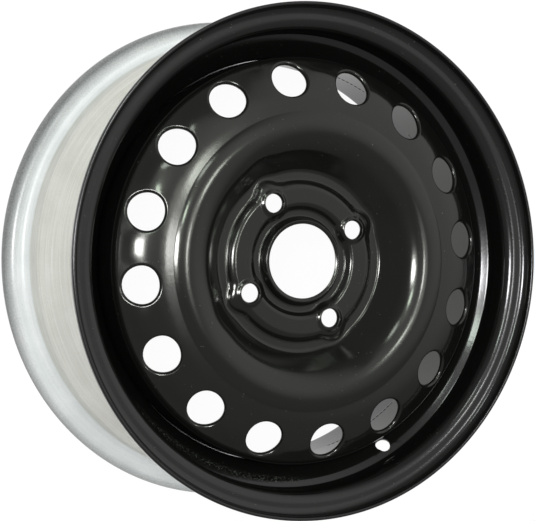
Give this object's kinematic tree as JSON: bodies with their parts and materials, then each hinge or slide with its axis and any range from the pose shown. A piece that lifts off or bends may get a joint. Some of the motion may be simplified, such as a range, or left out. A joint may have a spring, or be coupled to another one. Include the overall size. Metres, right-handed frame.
{
  "type": "pressed steel wheel rim",
  "caption": "Pressed steel car wheel rim: a deep dished disc with bolt seats and round vent holes, welded into a rolled drop centre rim with a valve hole.",
  "frame": {"origin": "on the wheel's axis, half way between the two rim flanges", "axes": "+Z along the wheel's axis towards the street side, +X and +Y half way between two bolt holes"},
  "size_m": [0.3894, 0.3894, 0.1618],
  "materials": {
    "rim_enamel": "semi-gloss black enamel on the street side, pale grey primer on the tyre side",
    "disc_enamel": "semi-gloss black enamel",
    "weld_metal": "painted over weld bead, satin"
  },
  "bodies": {
    "root": {"rim": "rim_enamel", "disc": "disc_enamel", "weld_bead_1": "weld_metal", "weld_bead_2": "weld_metal", "weld_bead_3": "weld_metal", "weld_bead_4": "weld_metal", "weld_bead_5": "weld_metal", "weld_bead_6": "weld_metal", "weld_bead_7": "weld_metal", "weld_bead_8": "weld_metal"}
  },
  "joints": []
}
